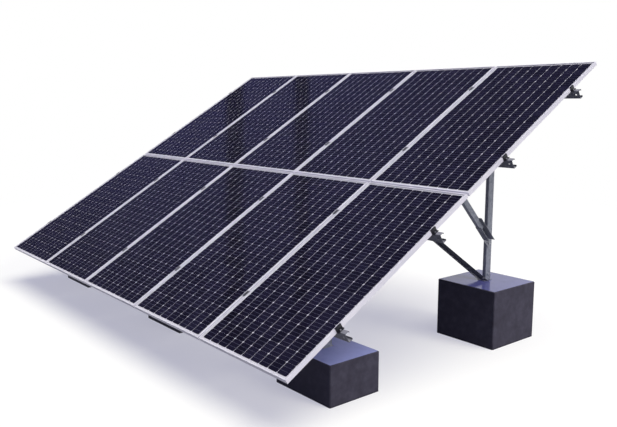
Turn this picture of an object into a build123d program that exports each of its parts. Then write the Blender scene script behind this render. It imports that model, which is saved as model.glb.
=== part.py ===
from build123d import *
import os
from math import atan2, cos, degrees, radians, sin

# Ballasted ground mount for ten portrait solar modules, sizes in millimetres.
# +Z is up, X runs along the array and Y runs from the low front edge to the high rear edge.
# The origin is on the ground, under the middle of the array.
# "Run" is the level distance behind the array's low front edge, and "slope" is the distance up it.

# --- the module table ---
tilt = 30.7
columns = 5
rows = 2
module_width = 1134
module_length = 2180
module_gap = 20
low_edge_height = 452

# --- module frame, glass and cells ---
frame_depth = 35
frame_wall = 1.8
frame_lip = 11
frame_foot = 28
mitre_gap = 0.3
glass_thickness = 3.2
cell_thickness = 0.8
backsheet_thickness = 0.6
laminate_clearance = 0.3
cell_margin = 25
cell_rows_across = 10
string_gap = 2.5
box_width = 110
box_length = 62
box_depth = 18
box_inset = 190
box_draft = 8
gland_size = 7
gland_length = 9
gland_sink = 4

# --- purlins ---
purlin_offsets = (548, 1704)
purlin_depth = 80
purlin_flange = 41
purlin_lip = 14
purlin_wall = 2.5
purlin_overhang = 75
splice_hole_radius = 9
splice_hole_inset = 36

# --- rafters, posts and braces ---
frame_spacing = 2308
rafter_depth = 100
rafter_flange = 50
rafter_lip = 16
rafter_wall = 3
rafter_low_margin = 175
rafter_high_margin = 170
post_depth = 80
post_width = 40
post_lip = 14
post_wall = 3
post_head_rise = 40
front_post_run = 860
rear_post_run = 2950
knee_angle = 46.7
knee_foot_height = 363
knee_depth = 60
knee_width = 38
knee_wall = 3
knee_clearance = 0.3
knee_foot_gap = 253
bracket_wall = 4
bracket_width = 70
bracket_reach = 229
bracket_tail = 14
bracket_cut_height = 59
clevis_length = 160
clevis_ear_width = 62
clevis_ear_height = 88
clevis_bolt_spacing = 120
knee_head_gap = 3
knee_bolt_inset = 27
knee_head_inset = 40
bracket_post_distance = 20
lateral_foot_height = 12
lateral_head_height = 1165
lateral_leg = 50
lateral_toe = 28
lateral_wall = 4

# --- base shoes and purlin cleats ---
shoe_length = 110
shoe_width = 82
shoe_wall = 6
shoe_tab_width = 60
shoe_tab_height = 95
anchor_spacing = 44
anchor_inset = 18
cleat_leg = 58
cleat_wall = 5
cleat_bolt_share = 0.62
bend_radius = 5

# --- ballast blocks ---
rear_block_length = 680
rear_block_width = 650
rear_block_height = 560
front_block_length = 683
front_block_width = 525
front_block_height = 340
block_chamfer = 7

# --- clamps and bolts ---
clamp_length = 62
clamp_wall = 2.5
clamp_wing = 11
clamp_drop = 15
clamp_clearance = 0.5
end_clamp_foot = 22
bolt_radius = 5
clamp_head_width = 13
bolt_head_width = 17
bolt_head_height = 7
bolt_thread = 4
hole_clearance = 0.6

# --- positions that follow from those sizes ---
slope_angle = radians(tilt)
column_pitch = module_width + module_gap
row_pitch = module_length + module_gap
array_width = columns * module_width + (columns - 1) * module_gap
array_length = rows * module_length + (rows - 1) * module_gap
array_run = array_length * cos(slope_angle) + frame_depth * sin(slope_angle)
front_edge = -array_run / 2
purlin_top = -frame_depth
rafter_top = purlin_top - purlin_depth
rafter_middle = rafter_top - rafter_depth / 2
rafter_bottom = rafter_top - rafter_depth
purlin_stations = [row * row_pitch + offset for row in range(rows) for offset in purlin_offsets]
purlin_web_set_back = purlin_flange / 2
rafter_start = purlin_stations[0] - rafter_low_margin
rafter_end = purlin_stations[-1] + rafter_high_margin
frame_centres = {"left": -frame_spacing, "middle": 0, "right": frame_spacing}
web_offset = post_width / 2
knee_slope = radians(knee_angle)
knee_foot_z = rear_block_height + knee_foot_height
knee_back = web_offset + bracket_wall
knee_face = knee_back + knee_width
bracket_depth = knee_depth + 2 * (knee_clearance + bracket_wall)
rear_post_front = rear_post_run - post_depth / 2
hole_radius = bolt_radius + hole_clearance
seam_xs = [(column - columns / 2) * column_pitch + column_pitch for column in range(columns - 1)]
edge_xs = {-1: -array_width / 2, 1: array_width / 2}
end_bolt_offset = clamp_clearance + clamp_wall + (end_clamp_foot - clamp_wall) / 2
groove_top = -frame_wall
cell_top = groove_top - glass_thickness
backsheet_top = cell_top - cell_thickness
groove_bottom = backsheet_top - backsheet_thickness

array_plane = Plane(
    origin=(0, front_edge, low_edge_height),
    x_dir=(1, 0, 0),
    z_dir=(0, -sin(slope_angle), cos(slope_angle)),
)


def on_array(x, slope, height, x_dir=(1, 0, 0), z_dir=(0, 0, 1)):
    """Plane placed across, up the slope and square to the module plane."""
    local = Plane(origin=(x, slope, height), x_dir=x_dir, z_dir=z_dir)
    return Plane(array_plane.location * local.location)


def upright(x, run=0, height=0):
    """Plane square to X, with the run behind the front edge along x and height along y."""
    return Plane(origin=(x, front_edge + run, height), x_dir=(0, 1, 0), z_dir=(1, 0, 0))


def slope_at(run, height):
    """Distance up the slope, on the line at that height off the module plane, over a run."""
    return (run + height * sin(slope_angle)) / cos(slope_angle)


def level_at(run, height):
    """Height above the ground of the line at that height off the module plane, over a run."""
    return low_edge_height + slope_at(run, height) * sin(slope_angle) + height * cos(slope_angle)


def along_knee(distance, x):
    """Plane square to the knee brace, that far up it from where it crosses the post's middle."""
    run = rear_post_run - distance * cos(knee_slope)
    height = knee_foot_z + distance * sin(knee_slope)
    direction = (0, -cos(knee_slope), sin(knee_slope))
    return Plane(origin=(x, front_edge + run, height), x_dir=(1, 0, 0), z_dir=direction)


def channel(plane, depth, flange, lip, wall, length, bend=bend_radius):
    """Folded channel with its web on the plane's y axis and its flanges towards -x."""
    edge = depth / 2
    tips = [(-flange, -edge + lip)] if lip else []
    points = tips + [(-flange, -edge), (0, -edge), (0, edge), (-flange, edge)]
    points = points + [(-flange, edge - lip)] if lip else points
    with BuildPart() as folded:
        with BuildSketch(plane):
            with BuildLine():
                FilletPolyline(*points, radius=bend)
                offset(amount=wall, side=Side.LEFT)
            make_face()
        extrude(amount=length)
    return folded.part


def drilled(member, planes, radius=hole_radius, reach=24):
    """The member with a round hole through its wall at each plane's origin."""
    with BuildPart() as holed:
        add(member)
        with Locations(*[plane.location for plane in planes]):
            Cylinder(radius, reach, mode=Mode.SUBTRACT)
    return holed.part


def bolt(plane, grip, cap_head=False):
    """Bolt whose head sits on the plane, with its nut run up on the far side of the grip."""
    with BuildPart() as fastener:
        with BuildSketch(plane):
            if cap_head:
                Circle(clamp_head_width / 2)
            else:
                RegularPolygon(bolt_head_width / 2, 6, major_radius=False)
        extrude(amount=bolt_head_height)
        with BuildSketch(plane):
            Circle(bolt_radius)
        extrude(amount=-(grip + bolt_head_height + bolt_thread))
        with BuildSketch(plane.offset(-grip)):
            RegularPolygon(bolt_head_width / 2, 6, major_radius=False)
        extrude(amount=-bolt_head_height)
    return fastener.part


def gather(name, pieces):
    """One node of separate solids, written to its own file."""
    group = Compound(label=name, children=list(pieces))
    export_step(group, f"parts/{name}.step")


def save(name, piece):
    """One node of a single piece, written to its own file."""
    piece.label = name
    export_step(piece, f"parts/{name}.step")


os.makedirs("parts", exist_ok=True)


# --- ballast blocks: cast concrete, with chamfered edges from the mould ---
def ballast_block(x, run, length, width, height):
    with BuildPart() as block:
        with BuildSketch(Plane((x, front_edge + run, 0))):
            Rectangle(length, width)
        extrude(amount=height)
        chamfer(block.edges().filter_by(Axis.Z), block_chamfer)
        chamfer(block.faces().sort_by(Axis.Z)[-1].edges(), block_chamfer)
    return block.part


# --- base shoe: a folded angle bolted to the block, with its tab inside the post's web ---
shoe_tab_x = web_offset - post_wall - shoe_wall


def shoe_anchor_planes(x, run, height):
    anchor_x = x + web_offset - shoe_width + anchor_inset
    spots = (-anchor_spacing / 2, anchor_spacing / 2)
    return [Plane((anchor_x, front_edge + run + spot, height + shoe_wall)) for spot in spots]


def post_foot_plane(x, run, height):
    """Where the post's foot is bolted to the shoe's tab, on the outside of the post's web."""
    level = height + shoe_wall + shoe_tab_height * 2 / 3
    return upright(x + web_offset, run, level)


def base_shoe(x, run, height):
    with BuildPart() as shoe:
        with BuildSketch(Plane((x + web_offset - shoe_width / 2, front_edge + run, height))):
            Rectangle(shoe_width, shoe_length)
        extrude(amount=shoe_wall)
        with BuildSketch(Plane((x + shoe_tab_x + shoe_wall / 2, front_edge + run, height + shoe_wall))):
            Rectangle(shoe_wall, shoe_tab_width)
        extrude(amount=shoe_tab_height)
    anchored = drilled(shoe.part, shoe_anchor_planes(x, run, height))
    return drilled(anchored, [post_foot_plane(x, run, height)], reach=30)


def anchor(plane):
    """Anchor nut and stud end standing on the shoe, with the stud down to the block's top."""
    with BuildPart() as stud:
        with BuildSketch(plane):
            RegularPolygon(bolt_head_width / 2, 6, major_radius=False)
        extrude(amount=bolt_head_height)
        with BuildSketch(plane.offset(-shoe_wall)):
            Circle(bolt_radius)
        extrude(amount=shoe_wall + bolt_head_height + bolt_thread)
    return stud.part


# --- posts: lipped channels whose web lies on the rafter's web ---
def post_head_planes(x, run):
    """Bolt places on the rafter's middle line, each side of the post's middle."""
    spots = (run - post_depth / 4, run + post_depth / 4)
    return [upright(x + web_offset, spot, level_at(spot, rafter_middle)) for spot in spots]


def post(x, run, block_height):
    foot = block_height + shoe_wall
    head = level_at(run, rafter_middle) + post_head_rise
    plane = Plane(origin=(x + web_offset, front_edge + run, foot), x_dir=(1, 0, 0), z_dir=(0, 0, 1))
    blank = channel(plane, post_depth, post_width, post_lip, post_wall, head - foot)
    holes = post_head_planes(x, run) + [post_foot_plane(x, run, block_height)]
    return drilled(blank, holes)


# --- rafters: lipped channels under the purlins, open to +X ---
def cleat_planes(x, station):
    """Bolt places of one cleat: down through the rafter's flange, and back through the purlin's web."""
    middle = x + web_offset + rafter_flange / 2
    web = station - purlin_web_set_back
    flange_bolt = on_array(middle, web - cleat_leg / 2, rafter_top + cleat_wall)
    bolt_height = rafter_top + cleat_leg * cleat_bolt_share
    web_bolt = on_array(middle, web - cleat_wall, bolt_height, x_dir=(1, 0, 0), z_dir=(0, -1, 0))
    return flange_bolt, web_bolt


knee_foot_slope = rear_post_run * cos(slope_angle) + (knee_foot_z - low_edge_height) * sin(slope_angle)
knee_foot_drop = -rear_post_run * sin(slope_angle) + (knee_foot_z - low_edge_height) * cos(slope_angle)
knee_lean = knee_slope + slope_angle
knee_head = rafter_bottom - bracket_wall - knee_head_gap
knee_reach = (knee_head - knee_foot_drop) / sin(knee_lean)
clevis_station = knee_foot_slope - knee_reach * cos(knee_lean)


def clevis_planes(x):
    """Bolt places that hold the clevis up against the rafter's lower flange."""
    middle = x + web_offset + rafter_flange / 2
    spots = (clevis_station - clevis_bolt_spacing / 2, clevis_station + clevis_bolt_spacing / 2)
    return [on_array(middle, spot, rafter_bottom - bracket_wall, z_dir=(0, 0, -1)) for spot in spots]


def rafter(x):
    plane = on_array(x + web_offset, rafter_start, rafter_middle, x_dir=(-1, 0, 0), z_dir=(0, 1, 0))
    blank = channel(
        plane, rafter_depth, rafter_flange, rafter_lip, rafter_wall, rafter_end - rafter_start
    )
    holes = post_head_planes(x, front_post_run) + post_head_planes(x, rear_post_run)
    holes += [cleat_planes(x, station)[0] for station in purlin_stations]
    return drilled(blank, holes + clevis_planes(x))


# --- knee brace, its U bracket on the post and its clevis under the rafter ---
knee_bolt_distance = knee_foot_gap + knee_bolt_inset
knee_bolt_x = knee_back + knee_width / 2
knee_head_distance = knee_reach - knee_head_inset


def knee_cross_plane(x):
    """Bolt place across the U bracket's flanges, on the outside of the upper flange."""
    run = rear_post_run - knee_bolt_distance * cos(knee_slope) + bracket_depth / 2 * sin(knee_slope)
    height = knee_foot_z + knee_bolt_distance * sin(knee_slope) + bracket_depth / 2 * cos(knee_slope)
    outward = (0, sin(knee_slope), cos(knee_slope))
    return Plane(origin=(x + knee_bolt_x, front_edge + run, height), x_dir=(1, 0, 0), z_dir=outward)


def knee_head_plane(x):
    """Bolt place through the clevis ears, on the outside of the ear on the +X side."""
    run = rear_post_run - knee_head_distance * cos(knee_slope)
    height = knee_foot_z + knee_head_distance * sin(knee_slope)
    return upright(x + knee_face + bracket_wall, run, height)


def bracket_post_plane(x):
    """Bolt place through the U bracket's web and the post's web."""
    run = rear_post_run - bracket_post_distance * cos(knee_slope)
    height = knee_foot_z + bracket_post_distance * sin(knee_slope)
    return upright(x + knee_back, run, height)


def knee_brace(x):
    blank = channel(
        along_knee(knee_foot_gap, x + knee_face), knee_depth, knee_width, 0, knee_wall,
        knee_reach - knee_foot_gap + knee_depth,
    )
    with BuildPart() as brace:
        add(blank)
        split(bisect_by=on_array(x, clevis_station, knee_head), keep=Keep.BOTTOM)
    across = drilled(brace.part, [knee_cross_plane(x)], reach=3 * knee_depth)
    return drilled(across, [knee_head_plane(x)], reach=3 * knee_width)


def knee_bracket(x):
    plane = along_knee(-bracket_tail, x + web_offset)
    turned = Plane(origin=plane.origin, x_dir=(-1, 0, 0), z_dir=plane.z_dir)
    bend = bracket_wall + knee_clearance
    blank = channel(turned, bracket_depth, bracket_width, 0, bracket_wall, 2 * bracket_reach, bend)
    cut_run = rear_post_run - bracket_reach
    flange_cut = knee_foot_z + bracket_cut_height
    with BuildPart() as bracket:
        add(blank)
        split(
            bisect_by=Plane(origin=(x, front_edge + cut_run, 0), x_dir=(1, 0, 0), z_dir=(0, 1, 0)),
            keep=Keep.TOP,
        )
        with BuildSketch(upright(x + knee_back, rear_post_run, flange_cut)):
            Rectangle(bracket_width * 4, bracket_width * 4, align=(Align.CENTER, Align.MAX))
        extrude(amount=bracket_width, mode=Mode.SUBTRACT)
    across = drilled(bracket.part, [knee_cross_plane(x)], reach=3 * knee_depth)
    return drilled(across, [bracket_post_plane(x)], reach=4 * bracket_wall)


def clevis(x):
    with BuildPart() as folded:
        with BuildSketch(on_array(x + web_offset + rafter_flange / 2, clevis_station, rafter_bottom)):
            Rectangle(rafter_flange, clevis_length)
        extrude(amount=-bracket_wall)
        for ear_x in (knee_back - bracket_wall / 2, knee_face + bracket_wall / 2):
            with BuildSketch(on_array(x + ear_x, clevis_station, rafter_bottom - bracket_wall)):
                Rectangle(bracket_wall, clevis_ear_width)
            extrude(amount=-clevis_ear_height)
    bolted = drilled(folded.part, clevis_planes(x))
    return drilled(bolted, [knee_head_plane(x)], reach=3 * knee_width)


# --- lateral braces: angles from one frame's foot up to the next frame's post ---
lateral_angle = atan2(lateral_head_height - lateral_foot_height, frame_spacing)


def lateral_bolt_planes(x):
    """Bolt places at both ends, on the front of the angle, where it crosses the posts."""
    face = rear_post_front - lateral_wall
    spots = [(x, lateral_foot_height + lateral_leg / 4), (x - frame_spacing, lateral_head_height)]
    return [
        Plane(
            origin=(spot_x, front_edge + face, rear_block_height + spot_z),
            x_dir=(1, 0, 0),
            z_dir=(0, -1, 0),
        )
        for spot_x, spot_z in spots
    ]


def lateral_brace(x):
    direction = (-cos(lateral_angle), 0, sin(lateral_angle))
    start = rear_block_height + lateral_foot_height - post_width * 2 * sin(lateral_angle)
    base = Plane(
        origin=(x + post_width * 2 * cos(lateral_angle), front_edge + rear_post_front, start),
        x_dir=(0, -1, 0),
        z_dir=direction,
    )
    half = lateral_leg / 2
    with BuildPart() as brace:
        with BuildSketch(base):
            with BuildLine():
                Polyline(
                    (0, half),
                    (lateral_wall, half),
                    (lateral_wall, -half + lateral_wall),
                    (lateral_toe, -half + lateral_wall),
                    (lateral_toe, -half),
                    (0, -half),
                    close=True,
                )
            make_face()
        extrude(amount=1.5 * frame_spacing)
        split(bisect_by=Plane.XY.offset(rear_block_height + shoe_wall), keep=Keep.TOP)
        post_edge = x - frame_spacing - post_width / 2
        split(bisect_by=Plane(origin=(post_edge, 0, 0), x_dir=(0, 1, 0), z_dir=(1, 0, 0)), keep=Keep.TOP)
    return drilled(brace.part, lateral_bolt_planes(x))


# --- purlins: lipped channels across the frames, open up the slope ---
def clamp_bolt_planes(station):
    """Bolt places of the clamps on one purlin, at the seat of each bolt's head."""
    seams = [on_array(x, station, clamp_wall - clamp_drop) for x in seam_xs]
    foot_top = purlin_top + clamp_wall
    ends = [on_array(x + side * end_bolt_offset, station, foot_top) for side, x in edge_xs.items()]
    return seams, ends


def splice_plane(station, side):
    """Middle of the punched hole near one end of a purlin's web, facing down the slope."""
    x = side * (array_width / 2 + purlin_overhang - splice_hole_inset)
    web = station - purlin_web_set_back
    return on_array(x, web, purlin_top - purlin_depth / 2, z_dir=(0, -1, 0))


def purlin(station):
    half = array_width / 2 + purlin_overhang
    web = station - purlin_web_set_back
    middle = purlin_top - purlin_depth / 2
    plane = on_array(-half, web, middle, x_dir=(0, -1, 0), z_dir=(1, 0, 0))
    blank = channel(plane, purlin_depth, purlin_flange, purlin_lip, purlin_wall, 2 * half)
    seams, ends = clamp_bolt_planes(station)
    top_planes = [plane.offset(purlin_top - clamp_wall + clamp_drop) for plane in seams]
    top_planes += ends
    web_planes = [cleat_planes(x, station)[1] for x in frame_centres.values()]
    bored = drilled(blank, top_planes + web_planes)
    return drilled(bored, [splice_plane(station, side) for side in edge_xs], splice_hole_radius)


def cleat(x, station):
    middle = x + web_offset + rafter_flange / 2
    web = station - purlin_web_set_back
    with BuildPart() as angle:
        with BuildSketch(on_array(middle - rafter_flange / 2, web, rafter_top, (0, -1, 0), (1, 0, 0))):
            with BuildLine():
                Polyline(
                    (0, 0),
                    (cleat_leg, 0),
                    (cleat_leg, -cleat_wall),
                    (cleat_wall, -cleat_wall),
                    (cleat_wall, -cleat_leg),
                    (0, -cleat_leg),
                    close=True,
                )
            make_face()
        extrude(amount=rafter_flange)
    return drilled(angle.part, cleat_planes(x, station))


# --- clamps between and beside the modules ---
def mid_clamp(x, station):
    wing = module_gap / 2 + clamp_wing
    half = module_gap / 2 - clamp_clearance
    inner = half - clamp_wall
    with BuildPart() as clamp:
        with BuildSketch(on_array(x, station - clamp_length / 2, 0, (-1, 0, 0), (0, 1, 0))):
            with BuildLine():
                Polyline(
                    (-wing, 0),
                    (-half, 0),
                    (-half, -clamp_drop),
                    (half, -clamp_drop),
                    (half, 0),
                    (wing, 0),
                    (wing, clamp_wall),
                    (inner, clamp_wall),
                    (inner, clamp_wall - clamp_drop),
                    (-inner, clamp_wall - clamp_drop),
                    (-inner, clamp_wall),
                    (-wing, clamp_wall),
                    close=True,
                )
            make_face()
        extrude(amount=clamp_length)
    return drilled(clamp.part, [on_array(x, station, clamp_wall - clamp_drop)], reach=4 * clamp_wall)


def end_clamp(side, station):
    near = clamp_clearance
    far = near + clamp_wall
    toe = near + end_clamp_foot
    edge = edge_xs[side]
    with BuildPart() as clamp:
        with BuildSketch(on_array(edge, station - side * clamp_length / 2, 0, (side, 0, 0), (0, side, 0))):
            with BuildLine():
                Polyline(
                    (-frame_lip, 0),
                    (near, 0),
                    (near, frame_depth),
                    (toe, frame_depth),
                    (toe, frame_depth - clamp_wall),
                    (far, frame_depth - clamp_wall),
                    (far, -clamp_wall),
                    (-frame_lip, -clamp_wall),
                    close=True,
                )
            make_face()
        extrude(amount=clamp_length)
    seat = on_array(edge + side * end_bolt_offset, station, purlin_top + clamp_wall)
    return drilled(clamp.part, [seat])


# --- one module: four mitred frame rails, the glass, the cell strings and the backsheet ---
def module_centre(column, row):
    x = (column - (columns - 1) / 2) * column_pitch
    return x, row * row_pitch + module_length / 2


def frame_rail(length):
    """Extruded frame rail for one side, mitred at both ends, centred with its outside on y = 0."""
    with BuildPart() as rail:
        with BuildSketch(Plane(origin=(-length / 2, 0, 0), x_dir=(0, 1, 0), z_dir=(1, 0, 0))):
            with BuildLine():
                Polyline(
                    (0, 0),
                    (frame_lip, 0),
                    (frame_lip, groove_top),
                    (frame_wall, groove_top),
                    (frame_wall, groove_bottom),
                    (frame_lip, groove_bottom),
                    (frame_lip, groove_bottom - frame_wall),
                    (frame_wall, groove_bottom - frame_wall),
                    (frame_wall, frame_wall - frame_depth),
                    (frame_foot, frame_wall - frame_depth),
                    (frame_foot, -frame_depth),
                    (0, -frame_depth),
                    close=True,
                )
            make_face()
        extrude(amount=length)
        with BuildSketch(Plane.XY.offset(-frame_depth)):
            half = length / 2 - mitre_gap / 2
            with BuildLine():
                Polyline(
                    (-half, 0),
                    (half, 0),
                    (half - frame_foot, frame_foot),
                    (-half + frame_foot, frame_foot),
                    close=True,
                )
            make_face()
        extrude(amount=frame_depth, mode=Mode.INTERSECT)
    return rail.part


short_rail = frame_rail(module_width)
long_rail = frame_rail(module_length)


def copy_to(piece, plane):
    """A copy of a piece that was drawn at the origin, carried to a plane."""
    return piece.moved(plane.location)


def module_frame(column, row):
    x, slope = module_centre(column, row)
    half_width = module_width / 2
    half_length = module_length / 2
    places = (
        (short_rail, on_array(x, slope - half_length, 0)),
        (short_rail, on_array(x, slope + half_length, 0, x_dir=(-1, 0, 0))),
        (long_rail, on_array(x - half_width, slope, 0, x_dir=(0, -1, 0))),
        (long_rail, on_array(x + half_width, slope, 0, x_dir=(0, 1, 0))),
    )
    return [copy_to(rail, plane) for rail, plane in places]


def sheet(column, row, top, thickness):
    """A flat sheet of the laminate, held in the frame's groove on all four sides."""
    inset = frame_wall + laminate_clearance
    x, slope = module_centre(column, row)
    with BuildPart() as flat:
        with BuildSketch(on_array(x, slope, top)):
            Rectangle(module_width - 2 * inset, module_length - 2 * inset)
        extrude(amount=-thickness)
    return flat.part


def cell_strings(column, row):
    x, slope = module_centre(column, row)
    pitch = (module_width - 2 * cell_margin) / cell_rows_across
    strings = []
    for index in range(cell_rows_across):
        string_x = x + (index - (cell_rows_across - 1) / 2) * pitch
        with BuildPart() as string:
            with BuildSketch(on_array(string_x, slope, cell_top)):
                Rectangle(pitch - string_gap, module_length - 2 * cell_margin)
            extrude(amount=-cell_thickness)
        strings.append(string.part)
    return strings


def junction_box(column, row):
    x, slope = module_centre(column, row)
    station = slope + module_length / 2 - box_inset
    with BuildPart() as box:
        with BuildSketch(on_array(x, station, groove_bottom)):
            RectangleRounded(box_width, box_length, box_length / 8)
        extrude(amount=-box_depth, taper=box_draft)
        gland_height = groove_bottom - box_depth / 2
        for side in (-1, 1):
            gland_x = x + side * (box_width / 2 - gland_size * 2)
            with BuildSketch(on_array(gland_x, station - box_length / 2 + gland_sink, gland_height, z_dir=(0, -1, 0))):
                RegularPolygon(gland_size, 6)
            extrude(amount=gland_length)
    return box.part


# --- write every node ---
for name, x in frame_centres.items():
    front_size = (front_block_length, front_block_width, front_block_height)
    rear_size = (rear_block_length, rear_block_width, rear_block_height)
    save(f"{name}_front_block", ballast_block(x, front_post_run, *front_size))
    save(f"{name}_rear_block", ballast_block(x, rear_post_run, *rear_size))
    save(f"{name}_front_post", post(x, front_post_run, front_block_height))
    rear_post = post(x, rear_post_run, rear_block_height)
    lateral_holes = []
    if name != "left":
        lateral_holes.append(lateral_bolt_planes(x)[0])
    if name != "right":
        lateral_holes.append(lateral_bolt_planes(x + frame_spacing)[1])
    rear_post = drilled(rear_post, lateral_holes + [bracket_post_plane(x)])
    save(f"{name}_rear_post", rear_post)
    save(f"{name}_rafter", rafter(x))
    save(f"{name}_knee_brace", knee_brace(x))
    if name != "left":
        save(f"{name}_lateral_brace", lateral_brace(x))

for number, station in enumerate(purlin_stations, start=1):
    save(f"purlin_{number}", purlin(station))

module_places = [(column, row) for row in range(rows) for column in range(columns)]
for column, row in module_places:
    tag = f"{'lower' if row == 0 else 'upper'}_{column + 1}"
    gather(f"module_frame_{tag}", module_frame(column, row))
    save(f"module_glass_{tag}", sheet(column, row, groove_top, glass_thickness))

gather("cell_strings", [string for place in module_places for string in cell_strings(*place)])
gather("backsheets", [sheet(*place, backsheet_top, backsheet_thickness) for place in module_places])
gather("junction_boxes", [junction_box(*place) for place in module_places])

frame_xs = list(frame_centres.values())
feet = [(x, front_post_run, front_block_height) for x in frame_xs]
feet += [(x, rear_post_run, rear_block_height) for x in frame_xs]
crossings = [(x, station) for x in frame_xs for station in purlin_stations]
gather("base_shoes", [base_shoe(*foot) for foot in feet])
gather("anchor_bolts", [anchor(plane) for foot in feet for plane in shoe_anchor_planes(*foot)])
gather("knee_brackets", [knee_bracket(x) for x in frame_xs])
gather("rafter_clevises", [clevis(x) for x in frame_xs])
gather("purlin_cleats", [cleat(*crossing) for crossing in crossings])
gather("mid_clamps", [mid_clamp(x, station) for station in purlin_stations for x in seam_xs])
gather("end_clamps", [end_clamp(side, station) for station in purlin_stations for side in edge_xs])

clamp_bolts = []
for station in purlin_stations:
    seams, ends = clamp_bolt_planes(station)
    seam_grip = clamp_wall - clamp_drop - purlin_top + purlin_wall
    clamp_bolts += [bolt(plane, seam_grip, cap_head=True) for plane in seams]
    clamp_bolts += [bolt(plane, clamp_wall + purlin_wall, cap_head=True) for plane in ends]
gather("clamp_bolts", clamp_bolts)

frame_bolts = []
for x in frame_xs:
    for run, block_height in ((front_post_run, front_block_height), (rear_post_run, rear_block_height)):
        heads = [plane.offset(rafter_wall) for plane in post_head_planes(x, run)]
        frame_bolts += [bolt(plane, rafter_wall + post_wall) for plane in heads]
        frame_bolts.append(bolt(post_foot_plane(x, run, block_height), post_wall + shoe_wall))
    frame_bolts.append(bolt(knee_cross_plane(x), bracket_depth))
    frame_bolts.append(bolt(knee_head_plane(x), knee_width + 2 * bracket_wall))
    frame_bolts.append(bolt(bracket_post_plane(x), bracket_wall + post_wall))
    frame_bolts += [bolt(plane, bracket_wall + rafter_wall) for plane in clevis_planes(x)]
for x in frame_xs[1:]:
    frame_bolts += [bolt(plane, lateral_wall + post_wall) for plane in lateral_bolt_planes(x)]
gather("frame_bolts", frame_bolts)

cleat_bolts = []
for crossing in crossings:
    flange_bolt, web_bolt = cleat_planes(*crossing)
    cleat_bolts.append(bolt(flange_bolt, cleat_wall + rafter_wall))
    cleat_bolts.append(bolt(web_bolt, cleat_wall + purlin_wall))
gather("cleat_bolts", cleat_bolts)
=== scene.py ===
"""Looks of a ballasted ground mount for a solar array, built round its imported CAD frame.

The CAD nodes keep their shapes and get procedural finishes. The cell sheets
are replaced by single cells with clipped corners, joined by tinned ribbons.
Everything is in metres, in the frame of the CAD.
"""

import logging
import math
from abc import ABC, abstractmethod
from dataclasses import dataclass, field
from enum import Enum

import bpy
import numpy as np
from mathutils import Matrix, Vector


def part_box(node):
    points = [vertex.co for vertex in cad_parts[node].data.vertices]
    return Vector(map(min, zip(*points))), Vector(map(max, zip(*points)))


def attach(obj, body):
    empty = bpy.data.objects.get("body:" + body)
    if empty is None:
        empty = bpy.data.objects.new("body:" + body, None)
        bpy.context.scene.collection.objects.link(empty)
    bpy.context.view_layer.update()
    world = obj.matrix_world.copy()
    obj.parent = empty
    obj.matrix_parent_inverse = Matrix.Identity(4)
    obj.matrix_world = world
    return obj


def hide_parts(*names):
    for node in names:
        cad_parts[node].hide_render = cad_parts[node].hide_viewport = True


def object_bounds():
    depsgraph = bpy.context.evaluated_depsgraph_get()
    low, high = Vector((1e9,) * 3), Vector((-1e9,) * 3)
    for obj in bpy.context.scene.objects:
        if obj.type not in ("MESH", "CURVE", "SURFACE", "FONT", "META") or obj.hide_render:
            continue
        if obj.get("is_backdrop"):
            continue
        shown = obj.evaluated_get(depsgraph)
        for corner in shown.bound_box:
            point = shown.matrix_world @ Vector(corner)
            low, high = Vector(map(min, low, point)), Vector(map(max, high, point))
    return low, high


LOG = logging.getLogger("ballast_mount")
MM = 0.001
WHITE = (1.0, 1.0, 1.0, 1.0)
BLACK = (0.0, 0.0, 0.0, 1.0)
# Nearly all of a noise pattern lies between these two values.
NOISE_LOW, NOISE_HIGH = 0.3, 0.7
# Waves in a metre of a band pattern at scale 1.
BANDS_PER_METRE = 20.0 / math.tau
# The glass over a laminated piece, as the clear coat of that piece.
GLASS_OVER = {"Coat Weight": 1.0, "Coat IOR": 1.45}
# Corners of a cell's outline, two in place of each that is clipped.
CELL_CORNERS = 8
# Inputs and output of a Mix node that take and give colours.
MIX_FIRST, MIX_SECOND, MIXED = 6, 7, 2

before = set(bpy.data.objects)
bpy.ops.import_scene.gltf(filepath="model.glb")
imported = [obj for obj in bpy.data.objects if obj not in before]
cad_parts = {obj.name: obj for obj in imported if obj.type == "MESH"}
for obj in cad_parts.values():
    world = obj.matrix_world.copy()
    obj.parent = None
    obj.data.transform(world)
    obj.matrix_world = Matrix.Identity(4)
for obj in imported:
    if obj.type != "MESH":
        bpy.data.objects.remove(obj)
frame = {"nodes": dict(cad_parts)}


# ---------------------------------------------------------------- helpers


def linear(colour: str) -> tuple[float, float, float, float]:
    """Turns an sRGB hex colour into linear RGBA.

    Args:
        colour: Six hex digits after a #.

    Returns:
        Red, green, blue and an alpha of 1.
    """
    values = np.array([int(colour[i : i + 2], 16) for i in (1, 3, 5)]) / 255.0
    low = values / 12.92
    high = ((values + 0.055) / 1.055) ** 2.4
    red, green, blue = np.where(values <= 0.04045, low, high).tolist()
    return red, green, blue, 1.0


def per_metre(size_mm: float) -> float:
    """Texture scale at which one cell or wave of a pattern measures size_mm."""
    return 1.0 / (size_mm * MM)


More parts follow.
